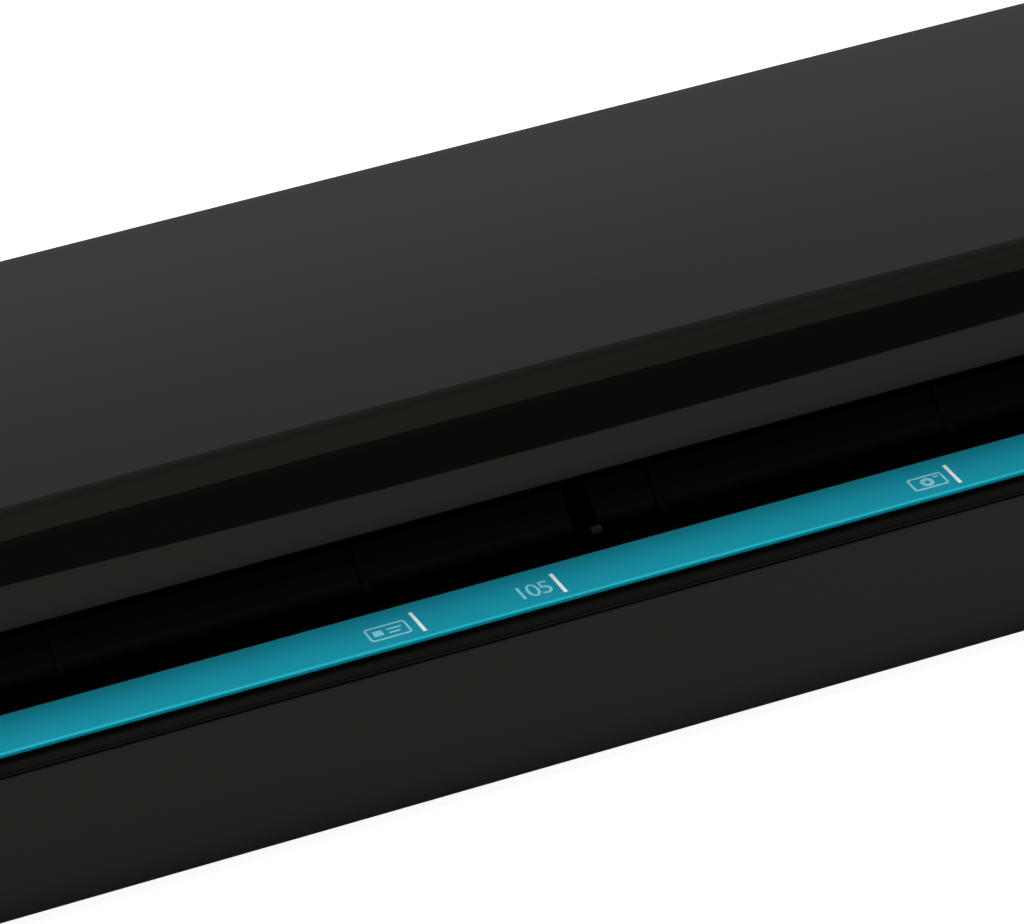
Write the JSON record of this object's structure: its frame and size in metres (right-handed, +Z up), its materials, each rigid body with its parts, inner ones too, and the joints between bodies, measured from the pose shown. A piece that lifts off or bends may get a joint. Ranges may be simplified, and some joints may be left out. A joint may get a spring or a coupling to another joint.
{
  "type": "portable document scanner",
  "caption": "Flat bar-shaped sheet-fed document scanner: hinged cover over a feed mouth, coloured format strip, geared drive rollers, sprung pinch rollers and two scan modules.",
  "frame": {"origin": "centre of the bounding box in plan, on the plane the feet rest on", "axes": "+Z up, +X along the length to the right as seen by the user, +Y to the back, so the feed mouth faces -Y"},
  "size_m": [0.291, 0.064, 0.0395],
  "materials": {
    "case": "fine satin black",
    "deck": "satin black",
    "strip": "satin turquoise",
    "cover": "satin black",
    "guide": "satin black",
    "rubber": "matt",
    "dome": "silicone",
    "roller": "matt",
    "pinch": "smooth grey",
    "plated_steel": "zinc plated",
    "motor": "plated can",
    "bush": "natural acetal",
    "steel": "ground",
    "spring": "drawn wire",
    "gear": "natural acetal",
    "brass": "cut brass",
    "screw": "zinc plated",
    "carrier": "black",
    "housing": "matt black",
    "glass": "clear polished",
    "lens": "rod lens array",
    "light_guide": "clear acrylic",
    "board": "green solder mask",
    "cable": "pale flat cable",
    "chip": "moulded epoxy",
    "socket": "ivory nylon",
    "flag": "black",
    "button": "smooth black",
    "lens_cap": "frosted clear"
  },
  "bodies": {
    "base": {"lower_case": "case", "guide_deck": "deck", "format_strip": "strip", "side_frame_left": "plated_steel", "side_frame_right": "plated_steel", "shaft_bushes": "bush", "gear_posts": "steel", "motor_body": "motor", "motor_plate": "plated_steel", "motor_cable": "cable", "lower_scan_housing": "housing", "lower_scan_glass": "glass", "lower_lens_array": "lens", "lower_light_guide": "light_guide", "lower_sensor_board": "board", "lower_sensor_cable": "cable", "main_board": "board", "board_components": "chip", "board_sockets": "socket", "usb_socket": "plated_steel", "flag_pin": "steel", "flag_spring": "spring", "paper_sensor": "chip", "case_screws": "screw", "frame_screws": "screw", "rubber_feet": "rubber", "hinge_pins": "steel"},
    "cover": {"cover_shell": "cover", "cover_guide_plate": "guide", "upper_scan_housing": "housing", "upper_scan_glass": "glass", "upper_lens_array": "lens", "upper_light_guide": "light_guide", "upper_sensor_board": "board", "upper_sensor_cable": "cable", "button_board": "board", "button_parts": "chip", "led_lens": "lens_cap", "cover_screws": "screw"},
    "feed_drive": {"feed_shaft": "steel", "feed_rollers": "roller", "feed_gear": "gear"},
    "exit_drive": {"exit_shaft": "steel", "exit_rollers": "roller", "exit_gear": "gear"},
    "transfer": {"transfer_gear": "gear"},
    "reduction": {"reduction_gear": "gear"},
    "motor_rotor": {"motor_shaft": "steel", "motor_pinion": "brass"},
    "paper_flag": {"paper_flag": "flag"},
    "front_carrier": {"front_pinch_carrier": "carrier", "front_pinch_springs": "spring"},
    "rear_carrier": {"rear_pinch_carrier": "carrier", "rear_pinch_springs": "spring"},
    "front_pinch": {"front_pinch_axle": "steel", "front_pinch_rollers": "pinch"},
    "rear_pinch": {"rear_pinch_axle": "steel", "rear_pinch_rollers": "pinch"},
    "scan_button": {"button_cap": "button", "button_dome": "dome"}
  },
  "joints": [
    {"name": "cover_hinge", "type": "hinge", "parent": "base", "child": "cover", "pos_m": [0, 0.0294, 0.026], "axis": [-1, 0, 0], "range_deg": [0, 70]},
    {"name": "feed_roller_spin", "type": "hinge", "parent": "base", "child": "feed_drive", "pos_m": [0, -0.007, 0.02], "axis": [1, 0, 0], "continuous": true},
    {"name": "exit_roller_spin", "type": "hinge", "parent": "base", "child": "exit_drive", "pos_m": [0, 0.0195, 0.02], "axis": [1, 0, 0], "continuous": true},
    {"name": "transfer_gear_spin", "type": "hinge", "parent": "base", "child": "transfer", "pos_m": [0, 0.00625, 0.02], "axis": [1, 0, 0], "continuous": true},
    {"name": "reduction_gear_spin", "type": "hinge", "parent": "base", "child": "reduction", "pos_m": [0, -0.01175, 0.01177], "axis": [1, 0, 0], "continuous": true},
    {"name": "motor_spin", "type": "hinge", "parent": "base", "child": "motor_rotor", "pos_m": [0, -0.00076, 0.0112], "axis": [1, 0, 0], "continuous": true},
    {"name": "paper_flag_tilt", "type": "hinge", "parent": "base", "child": "paper_flag", "pos_m": [0, -0.0145, 0.014], "axis": [-1, 0, 0], "range_deg": [0, 38], "stiffness_Nm_per_rad": 0.0004, "springref_deg": -17.19},
    {"name": "front_pinch_lift", "type": "slide", "parent": "cover", "child": "front_carrier", "axis": [0, 0, 1], "range_m": [0, 0.0006], "stiffness_N_per_m": 900, "springref_m": -0.003, "deforming": ["front_pinch_springs"]},
    {"name": "rear_pinch_lift", "type": "slide", "parent": "cover", "child": "rear_carrier", "axis": [0, 0, 1], "range_m": [0, 0.0006], "stiffness_N_per_m": 900, "springref_m": -0.003, "deforming": ["rear_pinch_springs"]},
    {"name": "front_pinch_spin", "type": "hinge", "parent": "front_carrier", "child": "front_pinch", "pos_m": [0, -0.007, 0.0285], "axis": [1, 0, 0], "continuous": true},
    {"name": "rear_pinch_spin", "type": "hinge", "parent": "rear_carrier", "child": "rear_pinch", "pos_m": [0, 0.0195, 0.0285], "axis": [1, 0, 0], "continuous": true},
    {"name": "scan_button_press", "type": "slide", "parent": "cover", "child": "scan_button", "axis": [0, 0, -1], "range_m": [0, 0.0007], "stiffness_N_per_m": 400, "springref_m": -0.002, "deforming": ["button_dome"]}
  ],
  "couplings": [
    {"joint": "exit_roller_spin", "follows": "feed_roller_spin", "ratio": 1},
    {"joint": "transfer_gear_spin", "follows": "feed_roller_spin", "ratio": -0.82759},
    {"joint": "reduction_gear_spin", "follows": "feed_roller_spin", "ratio": -1.7143},
    {"joint": "motor_spin", "follows": "feed_roller_spin", "ratio": 4.5714}
  ]
}
